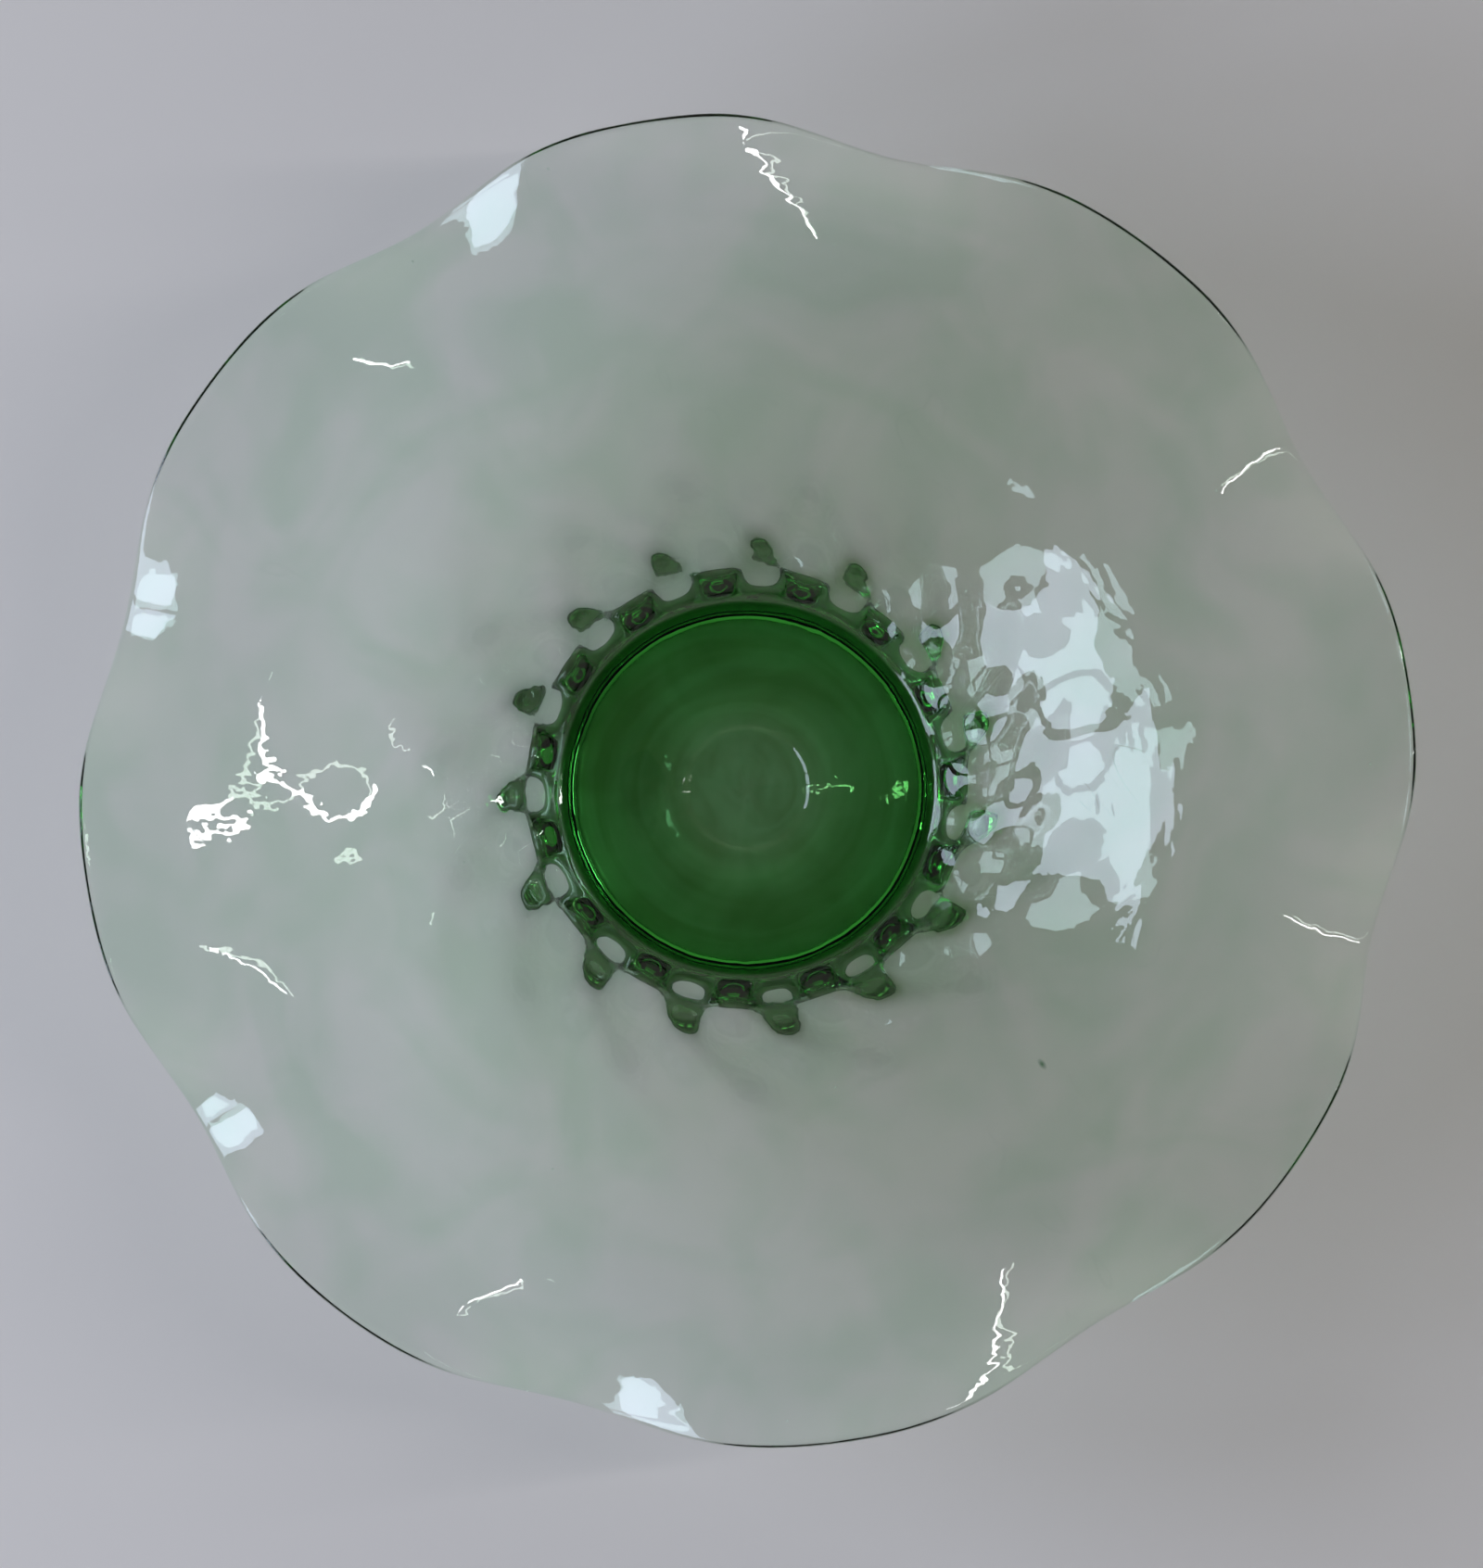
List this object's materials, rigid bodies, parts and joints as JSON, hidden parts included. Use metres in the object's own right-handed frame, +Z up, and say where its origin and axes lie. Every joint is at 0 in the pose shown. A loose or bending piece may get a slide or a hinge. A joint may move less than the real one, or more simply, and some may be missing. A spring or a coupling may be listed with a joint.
{
  "type": "art glass bowl",
  "caption": "Shallow flared bowl of pale green blown glass with a waved lip and soft round dimples, fused to a low pad foot of deep green glass.",
  "frame": {"origin": "middle of the ring that the foot rests on, on the bowl's axis", "axes": "+Z up along the bowl's axis, out of its mouth; +X and +Y level, with a lobe of the lip centred 8.5 degrees from +X towards +Y"},
  "size_m": [0.2529, 0.253, 0.0607],
  "materials": {
    "pale_green_glass": "fire-polished gloss",
    "deep_green_glass": "fire-polished gloss"
  },
  "bodies": {
    "root": {"bowl": "pale_green_glass", "foot": "deep_green_glass"}
  },
  "joints": []
}
